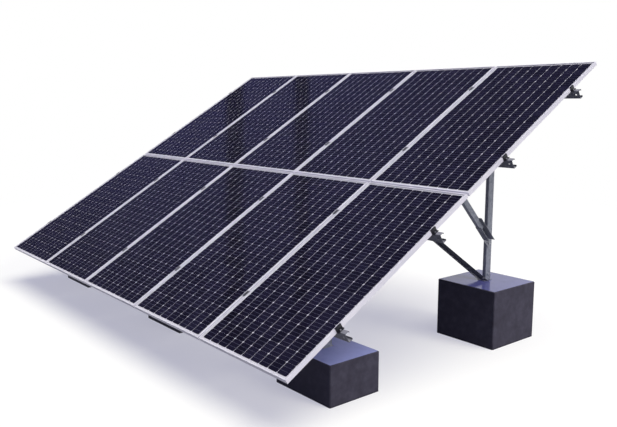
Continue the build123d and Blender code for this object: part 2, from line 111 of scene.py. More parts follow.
def add(
    tree: bpy.types.NodeTree,
    kind: str,
    sockets: dict | None = None,
    stops: tuple[tuple[float, str], ...] = (),
    **settings: object,
) -> bpy.types.Node:
    """Adds one shader node with its settings, values and links.

    Args:
        tree: Node tree that gets the node.
        kind: Blender's name of the node's type.
        sockets: Input name or number to a value, or to the output that feeds it.
        stops: Places and sRGB hex colours of a colour ramp, in order.
        settings: Properties of the node itself, such as operation.

    Returns:
        The new node.
    """
    made = tree.nodes.new(kind)
    for name, value in settings.items():
        setattr(made, name, value)
    for name, value in (sockets or {}).items():
        if isinstance(value, bpy.types.NodeSocket):
            tree.links.new(value, made.inputs[name])
        else:
            made.inputs[name].default_value = value
    for number, (position, colour) in enumerate(stops):
        # A new ramp holds two stops, and further ones are made.
        band = made.color_ramp.elements
        element = band[number] if number < 2 else band.new(position)
        element.position, element.color = position, linear(colour)
    return made


def mesh_piece(
    name: str,
    points: np.ndarray,
    faces: np.ndarray,
    material: bpy.types.Material,
    tones: np.ndarray | None = None,
) -> bpy.types.Object:
    """Makes one piece from copies that share a pattern of four-sided faces.

    Args:
        name: Name of the piece.
        points: Places in metres, shape (copies, corners, 3).
        faces: Corner numbers of one copy, shape (m, 4), seen from outside in
            turn to the left.
        material: Finish of the piece.
        tones: One shade from 0 to 1 per copy, stored as the attribute tone.

    Returns:
        The new object, at the origin.
    """
    copies, corners, _ = points.shape
    faces = (faces + np.arange(copies)[:, None, None] * corners).reshape(-1, 4)
    mesh = bpy.data.meshes.new(name)
    mesh.from_pydata(points.reshape(-1, 3).tolist(), [], faces.tolist())
    if tones is not None:
        layer = mesh.attributes.new("tone", "FLOAT", "POINT")
        layer.data.foreach_set("value", np.repeat(tones, corners).astype(np.float32))
    mesh.materials.append(material)
    mesh.update()
    piece = bpy.data.objects.new(name, mesh)
    bpy.context.scene.collection.objects.link(piece)
    return piece


# ---------------------------------------------------------------- finishes


class Metal(Enum):
    """Metals of the mount, by how their surface was made, and one darker copy that paints
    shade.
    """

    GALVANISED = "hot_dip_galvanised_steel"
    BRACKET = "galvanised_steel_bracket"
    # A darker copy of the galvanised steel: painted shade on the lateral braces and
    # purlins, whose faces turn from the light.
    PAINTED_SHADE = "galvanised_steel_painted_shade"
    ZINC_PLATED = "zinc_plated_fastener_steel"


@dataclass(frozen=True)
class Finish(ABC):
    """A material made from nodes.

    Args:
        name: Of the real finish.
    """

    name: str

    @abstractmethod
    def build(self) -> bpy.types.Material:
        """Returns the finished material."""

    def start(self) -> tuple[bpy.types.NodeTree, bpy.types.NodeSocket]:
        """Makes the empty material.

        Returns:
            Its node tree and the Object coordinates.
        """
        material = bpy.data.materials.new(self.name)
        material.use_nodes = True
        tree = material.node_tree
        tree.nodes.clear()
        place = add(tree, "ShaderNodeTexCoord").outputs["Object"]
        return tree, place

    def close(
        self, tree: bpy.types.NodeTree, sockets: dict[str, object]
    ) -> bpy.types.Material:
        """Adds the shader and the output.

        Args:
            tree: The material's node tree.
            sockets: Values and links of the Principled BSDF.

        Returns:
            The finished material.
        """
        shader = add(tree, "ShaderNodeBsdfPrincipled", sockets)
        add(tree, "ShaderNodeOutputMaterial", {"Surface": shader.outputs["BSDF"]})
        return bpy.data.materials[self.name]


@dataclass(frozen=True)
class AnodisedRail(Finish):
    """Clear anodised aluminium, extruded and etched satin.

    The oxide gives a soft, slightly lavender silver with a fine etched grain
    and hardly any streak. The grain of about 0.5 mm is drawn at 6 mm so that
    it shows.

    Args:
        grain_mm: Size of the etched grain as drawn.
        cloud_mm: Size of the slow change in colour along a rail.
        metallic: Low, because the etched oxide scatters most of the light.
        smooth: Roughness in the dips of the grain.
        rough: Roughness on its peaks.
    """

    name: str = "clear_anodised_aluminium"
    grain_mm: float = 6.0
    cloud_mm: float = 420.0
    metallic: float = 0.06
    smooth: float = 0.38
    rough: float = 0.5

    def build(self) -> bpy.types.Material:
        """Returns the finished material."""
        tree, place = self.start()
        cloud = add(
            tree,
            "ShaderNodeTexNoise",
            {"Vector": place, "Scale": per_metre(self.cloud_mm), "Detail": 3.0},
        ).outputs["Fac"]
        grain = add(
            tree,
            "ShaderNodeTexNoise",
            {"Vector": place, "Scale": per_metre(self.grain_mm), "Detail": 2.0},
        ).outputs["Fac"]
        colour = add(
            tree,
            "ShaderNodeValToRGB",
            {"Fac": cloud},
            stops=((NOISE_LOW, "#dedcea"), (NOISE_HIGH, "#eae8f3")),
        ).outputs["Color"]
        rough = add(
            tree,
            "ShaderNodeMapRange",
            {"Value": grain, "To Min": self.smooth, "To Max": self.rough},
        ).outputs["Result"]
        bump = add(
            tree,
            "ShaderNodeBump",
            {"Height": grain, "Strength": 0.05, "Distance": 0.4 * MM},
        ).outputs["Normal"]
        return self.close(
            tree,
            {
                "Base Color": colour,
                "Metallic": self.metallic,
                "Roughness": rough,
                "Normal": bump,
            },
        )


@dataclass(frozen=True)
class SteelFinish(Finish):
    """Zinc on steel: dull grey crystals on structure, smooth on fasteners.

    Hot dip zinc sets in flat crystals, the spangle, and dulls to a matte grey
    patina, which hides most of the metal's mirror. A crystal of about 8 mm is
    drawn at 26 mm so that it shows. Rolling leaves faint streaks, and pale
    dust settles on upper faces.

    Args:
        dark: Colour of the darkest crystals.
        light: Colour of the lightest.
        metallic: How much of the metal's mirror the patina leaves.
        roughness: Middle value, from which crystals differ a little.
        spangle_mm: Size of a crystal as drawn.
        streak_mm: Width of a rolling streak.
        streak_stretch: Scale of the streaks along Z.
        streak_share: How much the streaks count against the crystals.
        settled: Colour of the dust.
    """

    name: str = Metal.GALVANISED.value
    dark: str = "#7d818d"
    light: str = "#989ca8"
    metallic: float = 0.22
    roughness: float = 0.5
    spangle_mm: float = 26.0
    streak_mm: float = 9.0
    streak_stretch: float = 0.04
    streak_share: float = 0.45
    settled: str = "#a3a3ae"

    def build(self) -> bpy.types.Material:
        """Returns the finished material."""
        tree, place = self.start()
        crystals = add(
            tree,
            "ShaderNodeTexVoronoi",
            {"Vector": place, "Scale": per_metre(self.spangle_mm)},
        ).outputs["Color"]
        shade = add(tree, "ShaderNodeSeparateColor", {"Color": crystals}).outputs[0]
        long_way = add(
            tree,
            "ShaderNodeMapping",
            {"Vector": place, "Scale": (1.0, 1.0, self.streak_stretch)},
        ).outputs["Vector"]
        streak = add(
            tree,
            "ShaderNodeTexNoise",
            {"Vector": long_way, "Scale": per_metre(self.streak_mm), "Detail": 2.0},
        ).outputs["Fac"]
        both = add(
            tree,
            "ShaderNodeMix",
            {"Factor": self.streak_share, "A": shade, "B": streak},
            data_type="FLOAT",
        ).outputs["Result"]
        zinc = add(
            tree,
            "ShaderNodeValToRGB",
            {"Fac": both},
            stops=((0.25, self.dark), (0.75, self.light)),
        ).outputs["Color"]
        normal = add(tree, "ShaderNodeNewGeometry").outputs["Normal"]
        upward = add(tree, "ShaderNodeSeparateXYZ", {"Vector": normal}).outputs["Z"]
        dusty = add(
            tree,
            "ShaderNodeMapRange",
            {"Value": upward, "From Min": 0.5, "From Max": 0.85, "To Max": 0.7},
        ).outputs["Result"]
        colour = add(
            tree,
            "ShaderNodeMix",
            {"Factor": dusty, MIX_FIRST: zinc, MIX_SECOND: linear(self.settled)},
            data_type="RGBA",
        ).outputs[MIXED]
        rough = add(
            tree,
            "ShaderNodeMapRange",
            {
                "Value": shade,
                "To Min": self.roughness - 0.08,
                "To Max": self.roughness + 0.1,
            },
        ).outputs["Result"]
        bump = add(
            tree,
            "ShaderNodeBump",
            {"Height": both, "Strength": 0.08, "Distance": 0.5 * MM},
        ).outputs["Normal"]
        return self.close(
            tree,
            {
                "Base Color": colour,
                "Metallic": self.metallic,
                "Roughness": rough,
                "Specular IOR Level": 0.3,
                "Normal": bump,
            },
        )


@dataclass(frozen=True)
class BlackAnodised(Finish):
    """Black anodised aluminium, satin, with a fine grain.

    Args:
        grain_mm: Size of the grain as drawn, ten times the real one.
        smooth: Roughness in the dips of the grain.
        rough: Roughness on its peaks.
    """

    name: str = "black_anodised_aluminium"
    grain_mm: float = 5.0
    smooth: float = 0.3
    rough: float = 0.45

    def build(self) -> bpy.types.Material:
        """Returns the finished material."""
        tree, place = self.start()
        grain = add(
            tree,
            "ShaderNodeTexNoise",
            {"Vector": place, "Scale": per_metre(self.grain_mm), "Detail": 3.0},
        ).outputs["Fac"]
        colour = self.colour(tree, place, grain)
        rough = add(
            tree,
            "ShaderNodeMapRange",
            {"Value": grain, "To Min": self.smooth, "To Max": self.rough},
        ).outputs["Result"]
        return self.close(
            tree, {"Base Color": colour, "Metallic": 0.1, "Roughness": rough}
        )

    def colour(
        self,
        tree: bpy.types.NodeTree,
        place: bpy.types.NodeSocket,
        grain: bpy.types.NodeSocket,
    ) -> bpy.types.NodeSocket:
        """Colours the grain.

        Args:
            tree: The material's node tree.
            place: Object coordinates.
            grain: The grain, from 0 to 1.

        Returns:
            The colour.
        """
        return add(
            tree,
            "ShaderNodeValToRGB",
            {"Fac": grain},
            stops=((NOISE_LOW, "#15151b"), (0.75, "#2b2b34")),
        ).outputs["Color"]


@dataclass(frozen=True)
class PaintedLightAnodised(BlackAnodised):
    """Black anodised clamps with painted light: a grey trough along the seam and silver
    wing tips are painted highlights of the lit seam and the clamp's edges.

    Args:
        first_seam: X of one seam between modules.
        seam_pitch: From seam to seam.
        reach_mm: Distance from the seam that the ramp of colours covers.
        seam_light_end: Where the grey trough, painted light over the seam, ends, as a
            share of the reach.
        black_start: Where the black begins.
        black_end: Where it ends.
        edge_highlight_start: Where the silver wing tip, a painted highlight on the clamp's
            edge, begins.
        dulling: How much the black grain shows everywhere.
    """

    name: str = "black_anodised_clamp_painted_highlights"
    first_seam: float = 0.0
    seam_pitch: float = 1.0
    reach_mm: float = 25.0
    seam_light_end: float = 0.26
    black_start: float = 0.34
    black_end: float = 0.62
    edge_highlight_start: float = 0.7
    dulling: float = 0.12

    def colour(
        self,
        tree: bpy.types.NodeTree,
        place: bpy.types.NodeSocket,
        grain: bpy.types.NodeSocket,
    ) -> bpy.types.NodeSocket:
        """Colours by the distance from the nearest seam: grey, black, silver.

        Args:
            tree: The material's node tree.
            place: Object coordinates.
            grain: The grain, from 0 to 1.

        Returns:
            The colour.
        """
        across = add(tree, "ShaderNodeSeparateXYZ", {"Vector": place}).outputs["X"]
        from_seam = add(
            tree, "ShaderNodeMath", {0: across, 1: self.first_seam}, operation="SUBTRACT"
        ).outputs["Value"]
        away = add(
            tree,
            "ShaderNodeMath",
            {0: from_seam, 1: self.seam_pitch / 2},
            operation="PINGPONG",
        ).outputs["Value"]
        share = add(
            tree,
            "ShaderNodeMapRange",
            {"Value": away, "From Max": self.reach_mm * MM},
        ).outputs["Result"]
        # Grey trough at the seam and silver wing tips: painted light on a black clamp.
        painted_highlights = add(
            tree,
            "ShaderNodeValToRGB",
            {"Fac": share},
            stops=(
                (self.seam_light_end, "#8a8994"),
                (self.black_start, "#17171c"),
                (self.black_end, "#17171c"),
                (self.edge_highlight_start, "#c3c1ce"),
            ),
        ).outputs["Color"]
        black = super().colour(tree, place, grain)
        return add(
            tree,
            "ShaderNodeMix",
            {"Factor": self.dulling, MIX_FIRST: painted_highlights, MIX_SECOND: black},
            data_type="RGBA",
        ).outputs[MIXED]


@dataclass(frozen=True)
class SolarGlass(Finish):
    """Low-iron tempered glass with an anti-reflection coat.

    Most of what it does to the eye is the gloss, which the cells below carry
    as a clear coat, so the sheet itself is a thin clear film with a faint
    waviness from rolling.

    Args:
        wave_mm: Length of the waviness.
        film: How much the sheet hides what is below it.
    """

    name: str = "tempered_low_iron_glass"
    wave_mm: float = 40.0
    film: float = 0.06

    def build(self) -> bpy.types.Material:
        """Returns the finished material."""
        tree, place = self.start()
        wave = add(
            tree,
            "ShaderNodeTexNoise",
            {"Vector": place, "Scale": per_metre(self.wave_mm), "Detail": 1.0},
        ).outputs["Fac"]
        colour = add(
            tree,
            "ShaderNodeValToRGB",
            {"Fac": wave},
            stops=((NOISE_LOW, "#0c0e1a"), (NOISE_HIGH, "#141728")),
        ).outputs["Color"]
        return self.close(
            tree,
            {"Base Color": colour, "Roughness": 0.05, "IOR": 1.5, "Alpha": self.film},
        )


@dataclass(frozen=True)
class SiliconCell(Finish):
    """Monocrystalline silicon with a nitride coat, behind clear glass.

    The nitride makes it blue black, a little different from cell to cell.
    Silver fingers 1.5 mm apart are drawn at 18 mm, faint, so that they show.
    The clear coat is the glass that the cell is laminated to.

    Args:
        finger_mm: From finger to finger as drawn.
        finger_start: Height on the wave at which a finger begins.
        finger_share: How much of its silver a finger shows.
        cloud_mm: Size of the slow change in colour over a module.
        cloud_share: How much it counts against the tone of the cell.
    """

    name: str = "monocrystalline_silicon_cell"
    finger_mm: float = 18.0
    finger_start: float = 0.85
    finger_share: float = 0.18
    cloud_mm: float = 700.0
    cloud_share: float = 0.4

    def build(self) -> bpy.types.Material:
        """Returns the finished material."""
        tree, place = self.start()
        tone = add(tree, "ShaderNodeAttribute", attribute_name="tone").outputs["Fac"]
        cloud = add(
            tree,
            "ShaderNodeTexNoise",
            {"Vector": place, "Scale": per_metre(self.cloud_mm), "Detail": 2.0},
        ).outputs["Fac"]
        both = add(
            tree,
            "ShaderNodeMix",
            {"Factor": self.cloud_share, "A": tone, "B": cloud},
            data_type="FLOAT",
        ).outputs["Result"]
        silicon = add(
            tree,
            "ShaderNodeValToRGB",
            {"Fac": both},
            stops=((0.15, "#110f1d"), (0.85, "#221f34")),
        ).outputs["Color"]
        # One finger per finger_mm along X: a sine, cut to its peaks.
        across = add(
            tree,
            "ShaderNodeTexWave",
            {"Vector": place, "Scale": per_metre(self.finger_mm) / BANDS_PER_METRE},
            wave_type="BANDS",
            bands_direction="X",
        ).outputs["Fac"]
        peaks = add(
            tree,
            "ShaderNodeMapRange",
            {
                "Value": across,
                "From Min": self.finger_start,
                "From Max": 1.0,
                "To Max": self.finger_share,
            },
        ).outputs["Result"]
        colour = add(
            tree,
            "ShaderNodeMix",
            {"Factor": peaks, MIX_FIRST: silicon, MIX_SECOND: linear("#4c4a66")},
            data_type="RGBA",
        ).outputs[MIXED]
        return self.close(
            tree,
            {
                "Base Color": colour,
                "Roughness": 0.35,
                "Specular IOR Level": 0.0,
                "Coat Roughness": 0.03,
                **GLASS_OVER,
            },
        )


@dataclass(frozen=True)
class TinnedRibbon(Finish):
    """Tin-coated copper ribbon, dull bright, seen through the glass.

    Args:
        dip_mm: Size of the marks that the dip in solder leaves.
    """

    name: str = "tinned_copper_ribbon"
    dip_mm: float = 12.0

    def build(self) -> bpy.types.Material:
        """Returns the finished material."""
        tree, place = self.start()
        dips = add(
            tree,
            "ShaderNodeTexNoise",
            {"Vector": place, "Scale": per_metre(self.dip_mm)},
        ).outputs["Fac"]
        colour = add(
            tree,
            "ShaderNodeValToRGB",
            {"Fac": dips},
            stops=((NOISE_LOW, "#6f7184"), (NOISE_HIGH, "#8b8da0")),
        ).outputs["Color"]
        return self.close(
            tree,
            {
                "Base Color": colour,
                "Metallic": 0.4,
                "Roughness": 0.4,
                "Coat Roughness": 0.04,
                **GLASS_OVER,
            },
        )


@dataclass(frozen=True)
class BackSheet(Finish):
    """White polyester film, laminated, slightly pebbled from the press.

    Args:
        pebble_mm: Size of a pebble as drawn, five times the real one.
    """

    name: str = "white_laminate_film"
    pebble_mm: float = 14.0

    def build(self) -> bpy.types.Material:
        """Returns the finished material."""
        tree, place = self.start()
        pebble = add(
            tree,
            "ShaderNodeTexNoise",
            {"Vector": place, "Scale": per_metre(self.pebble_mm), "Detail": 2.0},
        ).outputs["Fac"]
        colour = add(
            tree,
            "ShaderNodeValToRGB",
            {"Fac": pebble},
            stops=((NOISE_LOW, "#e6e4ef"), (NOISE_HIGH, "#eeedf5")),
        ).outputs["Color"]
        bump = add(
            tree,
            "ShaderNodeBump",
            {"Height": pebble, "Strength": 0.06, "Distance": 0.5 * MM},
        ).outputs["Normal"]
        return self.close(
            tree, {"Base Color": colour, "Roughness": 0.5, "Normal": bump}
        )


@dataclass(frozen=True)
class BoxPlastic(Finish):
    """Black glass-filled nylon, moulded with a fine spark texture.

    Args:
        spark_mm: Size of the texture as drawn, ten times the real one.
    """

    name: str = "moulded_black_nylon"
    spark_mm: float = 3.0

    def build(self) -> bpy.types.Material:
        """Returns the finished material."""
        tree, place = self.start()
        spark = add(
            tree,
            "ShaderNodeTexNoise",
            {"Vector": place, "Scale": per_metre(self.spark_mm), "Detail": 3.0},
        ).outputs["Fac"]
        colour = add(
            tree,
            "ShaderNodeValToRGB",
            {"Fac": spark},
            stops=((NOISE_LOW, "#141418"), (NOISE_HIGH, "#202026")),
        ).outputs["Color"]
        bump = add(
            tree,
            "ShaderNodeBump",
            {"Height": spark, "Strength": 0.2, "Distance": 0.4 * MM},
        ).outputs["Normal"]
        return self.close(
            tree, {"Base Color": colour, "Roughness": 0.55, "Normal": bump}
        )


@dataclass(frozen=True)
class CastBlock(Finish):
    """Dark pigmented concrete, cast in a steel mould, with a coat of sealer.

    The trowelled top is smooth and glossy with sealer; its slate blue, lighter
    and bluer than the sides, is a painted reflection, and the blue tint of its
    gloss goes with it. The sides keep a mottle of about 90 mm, pits of a few
    millimetres and a few pale grains of sand. A darker band at the foot is damp
    from the ground. Pits are drawn at 12 mm so that they show.

    Args:
        mottle_mm: Size of the mottle.
        pit_mm: Size of the pits as drawn.
        grain_mm: From one pale grain of sand to the next.
        grain_size: Of a grain, as a share of that distance.
        damp_mm: Height of the damp band.
        damp_depth: How dark it is at the ground.
        painted_reflection_dark: Darker colour of the top, a painted bluish reflection.
        painted_reflection_light: Its lighter colour.
        top_roughness: Of the sealed top.
        side_shine: Specular level of the sides.
        top_shine: Specular level of the top.
        top_start: Upward part of the normal at which the sealer begins.
        top_full: Upward part at which it is complete.
    """

    name: str = "sealed_dark_cast_concrete"
    mottle_mm: float = 90.0
    pit_mm: float = 12.0
    grain_mm: float = 34.0
    grain_size: float = 0.05
    damp_mm: float = 18.0
    damp_depth: float = 0.6
    painted_reflection_dark: str = "#52548c"
    painted_reflection_light: str = "#5a5c96"
    top_roughness: float = 0.16
    side_shine: float = 0.2
    top_shine: float = 0.33
    top_start: float = 0.75
    top_full: float = 0.95

    def build(self) -> bpy.types.Material:
        """Returns the finished material."""
        tree, place = self.start()
        mottle = add(
            tree,
            "ShaderNodeTexNoise",
            {
                "Vector": place,
                "Scale": per_metre(self.mottle_mm),
                "Detail": 6.0,
                "Roughness": 0.6,
            },
        ).outputs["Fac"]
        body = add(
            tree,
            "ShaderNodeValToRGB",
            {"Fac": mottle},
            stops=((NOISE_LOW, "#393741"), (0.5, "#43414d"), (0.72, "#504e5b")),
        ).outputs["Color"]
        cells = add(
            tree,
            "ShaderNodeTexVoronoi",
            {"Vector": place, "Scale": per_metre(self.grain_mm)},
        ).outputs["Distance"]
        sand = add(
            tree,
            "ShaderNodeMapRange",
            {
                "Value": cells,
                "From Min": self.grain_size,
                "From Max": self.grain_size * 0.4,
                "To Max": 0.45,
            },
        ).outputs["Result"]
        grained = add(
            tree,
            "ShaderNodeMix",
            {"Factor": sand, MIX_FIRST: body, MIX_SECOND: linear("#77757f")},
            data_type="RGBA",
        ).outputs[MIXED]
        height = add(tree, "ShaderNodeSeparateXYZ", {"Vector": place}).outputs["Z"]
        damp = add(
            tree,
            "ShaderNodeMapRange",
            {
                "Value": height,
                "From Max": self.damp_mm * MM,
                "To Min": self.damp_depth,
                "To Max": 0.0,
            },
        ).outputs["Result"]
        colour = add(
            tree,
            "ShaderNodeMix",
            {"Factor": damp, MIX_FIRST: grained, MIX_SECOND: linear("#1b1a20")},
            data_type="RGBA",
        ).outputs[MIXED]
        normal = add(tree, "ShaderNodeNewGeometry").outputs["Normal"]
        upward = add(tree, "ShaderNodeSeparateXYZ", {"Vector": normal}).outputs["Z"]
        side_rough = add(
            tree,
            "ShaderNodeMapRange",
            {"Value": mottle, "To Min": 0.55, "To Max": 0.8},
        ).outputs["Result"]
        top = add(
            tree,
            "ShaderNodeMapRange",
            {"Value": upward, "From Min": self.top_start, "From Max": self.top_full},
        ).outputs["Result"]
        rough = add(
            tree,
            "ShaderNodeMix",
            {"Factor": top, "A": side_rough, "B": self.top_roughness},
            data_type="FLOAT",
        ).outputs["Result"]
        # The top's slate blue, lighter and bluer than the sides, is a painted reflection.
        top_painted_reflection = add(
            tree,
            "ShaderNodeValToRGB",
            {"Fac": mottle},
            stops=((NOISE_LOW, self.painted_reflection_dark), (NOISE_HIGH, self.painted_reflection_light)),
        ).outputs["Color"]
        finished = add(
            tree,
            "ShaderNodeMix",
            {"Factor": top, MIX_FIRST: colour, MIX_SECOND: top_painted_reflection},
            data_type="RGBA",
        ).outputs[MIXED]
        shine = add(
            tree,
            "ShaderNodeMapRange",
            {"Value": top, "To Min": self.side_shine, "To Max": self.top_shine},
        ).outputs["Result"]
        pits = add(
            tree,
            "ShaderNodeTexNoise",
            {"Vector": place, "Scale": per_metre(self.pit_mm), "Detail": 4.0},
        ).outputs["Fac"]
        side = add(
            tree, "ShaderNodeMath", {0: 1.0, 1: top}, operation="SUBTRACT"
        ).outputs["Value"]
        depth = add(
            tree, "ShaderNodeMath", {0: pits, 1: side}, operation="MULTIPLY"
        ).outputs["Value"]
        bump = add(
            tree,
            "ShaderNodeBump",
            {"Height": depth, "Strength": 0.35, "Distance": 1.2 * MM},
        ).outputs["Normal"]
        return self.close(
            tree,
            {
                "Base Color": finished,
                "Roughness": rough,
                "Specular IOR Level": shine,
                "Specular Tint": linear("#a9a8ff"),
                "Normal": bump,
            },
        )


# ---------------------------------------------------------------- pieces


@dataclass
class Laminate:
    """The glass sheet of one module, found from its CAD box.

    Places on it are (across, up, out): along X, up the slope, and away from
    the glass, from the lower left corner of its underside.

    Args:
        node: Name of the CAD node with the glass.
        tilt: Slope in radians.
    """

    node: str
    tilt: float
    origin: np.ndarray = field(init=False)
    width: float = field(init=False)
    length: float = field(init=False)
    thickness: float = field(init=False)

    def __post_init__(self) -> None:
        """Solves the sheet's length and thickness from its box.

        The box is length x cos + thickness x sin deep and
        length x sin + thickness x cos high.
        """
        low, high = (np.array(corner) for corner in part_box(self.node))
        cos, sin = math.cos(self.tilt), math.sin(self.tilt)
        self.width = high[0] - low[0]
        sizes = np.linalg.solve([[cos, sin], [sin, cos]], (high - low)[1:])
        self.length, self.thickness = sizes
        self.origin = low + np.array([0.0, self.thickness * sin, 0.0])

    def place(self, points: np.ndarray) -> np.ndarray:
        """Turns places on the sheet into places in the frame.

        Args:
            points: Across, up and out, shape (..., 3).

        Returns:
            X, Y and Z: up goes along (0, cos, sin), out along (0, -sin, cos).
        """
        cos, sin = math.cos(self.tilt), math.sin(self.tilt)
        turn = np.array([[1.0, 0.0, 0.0], [0.0, cos, sin], [0.0, -sin, cos]])
        return self.origin + points @ turn


@dataclass
class CellField:
    """The cells and ribbons of every module, in place of the CAD sheets.

    Args:
        laminates: Glass sheets of the modules.
        columns: Cells across a module.
        rows: Cells up a module.
        gap_across: Space between cells along a row.
        gap_up: Space between rows.
        clip: Leg of the clipped corner of a cell.
        thickness: Of a cell.
        depth: From the underside of the glass down to a cell.
        ribbons: Ribbons across one cell.
        ribbon_width: Of one ribbon.
        ribbon_thickness: Of one ribbon, less than the depth.
        seed: Of the random tones of the cells.
    """

    laminates: list[Laminate]
    columns: int = 10
    rows: int = 20
    gap_across: float = 3.2 * MM
    gap_up: float = 1.0 * MM
    clip: float = 8.0 * MM
    thickness: float = 0.2 * MM
    depth: float = 0.3 * MM
    ribbons: int = 2
    ribbon_width: float = 1.6 * MM
    ribbon_thickness: float = 0.18 * MM
    seed: int = 41

    def border(self) -> float:
        """Width from the edge of the glass to the first cell."""
        cells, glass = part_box("cell_strings"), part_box(self.laminates[0].node)
        return cells[0].x - glass[0].x

    def centres(self, sheet: Laminate) -> tuple[np.ndarray, float, float]:
        """Middles of the cells of one sheet.

        Args:
            sheet: The module's glass.

        Returns:
            Places (n, 2) across and up, and the pitch each way.
        """
        edge = self.border()
        across = (sheet.width - 2 * edge) / self.columns
        up = (sheet.length - 2 * edge) / self.rows
        u = edge + (np.arange(self.columns) + 0.5) * across
        v = edge + (np.arange(self.rows) + 0.5) * up
        return np.stack(np.meshgrid(u, v, indexing="ij"), -1).reshape(-1, 2), across, up

    def outline(self, across: float, up: float) -> np.ndarray:
        """Eight corners of a cell: a rectangle with its corners clipped.

        Args:
            across: Pitch across the module.
            up: Pitch up the module.

        Returns:
            Places (8, 2) about the cell's middle, in turn to the left.
        """
        half = np.array([across - self.gap_across, up - self.gap_up]) / 2
        signs = np.array([[1, -1], [1, 1], [-1, 1], [-1, -1]])
        # Each corner becomes two, one short of it along each edge.
        along = np.array([[1, 0], [0, 1], [1, 0], [0, 1]])
        ends = [signs * (half - edge * self.clip) for edge in (along, 1 - along)]
        return np.stack(ends, 1).reshape(-1, 2)

    def cells(self, finish: Finish) -> bpy.types.Object:
        """Builds all cells as one piece.

        Each cell is a prism: its outline at two depths, closed by three
        four-sided faces above and three below.

        Args:
            finish: Of the cells.

        Returns:
            The piece.
        """
        random = np.random.default_rng(self.seed)
        side = np.arange(CELL_CORNERS)
        following = (side + 1) % CELL_CORNERS
        walls = np.stack(
            [side, following, following + CELL_CORNERS, side + CELL_CORNERS], 1
        )
        cap = np.array([[0, 1, 2, 3], [0, 3, 4, 7], [4, 5, 6, 7]])
        levels = np.array([-self.depth - self.thickness, -self.depth])
        all_points, all_tones = [], []
        for sheet in self.laminates:
            middles, across, up = self.centres(sheet)
            ring = self.outline(across, up)
            points = np.empty((len(middles), len(levels), CELL_CORNERS, 3))
            points[..., :2] = (middles[:, None, :] + ring)[:, None, :, :]
            points[..., 2] = levels[:, None]
            all_points.append(sheet.place(points).reshape(len(middles), -1, 3))
            all_tones.append(random.random(len(middles)))
        return mesh_piece(
            "solar_cells",
            np.concatenate(all_points),
            np.concatenate([walls, cap + CELL_CORNERS, cap[:, ::-1]]),
            finish.build(),
            np.concatenate(all_tones),
        )

    def bars(self, finish: Finish) -> bpy.types.Object:
        """Builds the ribbons across every row of cells as one piece.

        Each is a flat box from side to side of the cell field. They part a
        row into strips of one height.

        Args:
            finish: Of the ribbons.

        Returns:
            The piece.
        """
        corners = np.array(
            [[i, j, k] for k in (0, 1) for j in (0, 1) for i in (0, 1)], float
        )
        pattern = np.array(
            [
                [0, 2, 3, 1],
                [4, 5, 7, 6],
                [0, 1, 5, 4],
                [2, 6, 7, 3],
                [0, 4, 6, 2],
                [1, 3, 7, 5],
            ]
        )
        share = np.arange(1, self.ribbons + 1) / (self.ribbons + 1)
        all_points = []
        for sheet in self.laminates:
            _, across, up = self.centres(sheet)
            edge = self.border()
            lines = edge + (np.arange(self.rows)[:, None] + share[None, :]) * up
            base = np.zeros((lines.size, 1, 3))
            base[:, 0, 0] = edge + self.gap_across
            base[:, 0, 1] = lines.ravel() - self.ribbon_width / 2
            base[:, 0, 2] = -self.depth
            length = across * self.columns - 2 * self.gap_across
            size = np.array([length, self.ribbon_width, self.ribbon_thickness])
            all_points.append(sheet.place(base + corners * size))
        return mesh_piece(
            "cell_ribbons", np.concatenate(all_points), pattern, finish.build()
        )

    def build(self) -> list[bpy.types.Object]:
        """Builds cells and ribbons and puts them in place of the CAD sheets.

        Returns:
            Both pieces.
        """
        cells = self.cells(SiliconCell())
        bars = self.bars(TinnedRibbon())
        for piece in (cells, bars):
            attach(piece, "root")
        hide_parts("cell_strings")
        return [cells, bars]


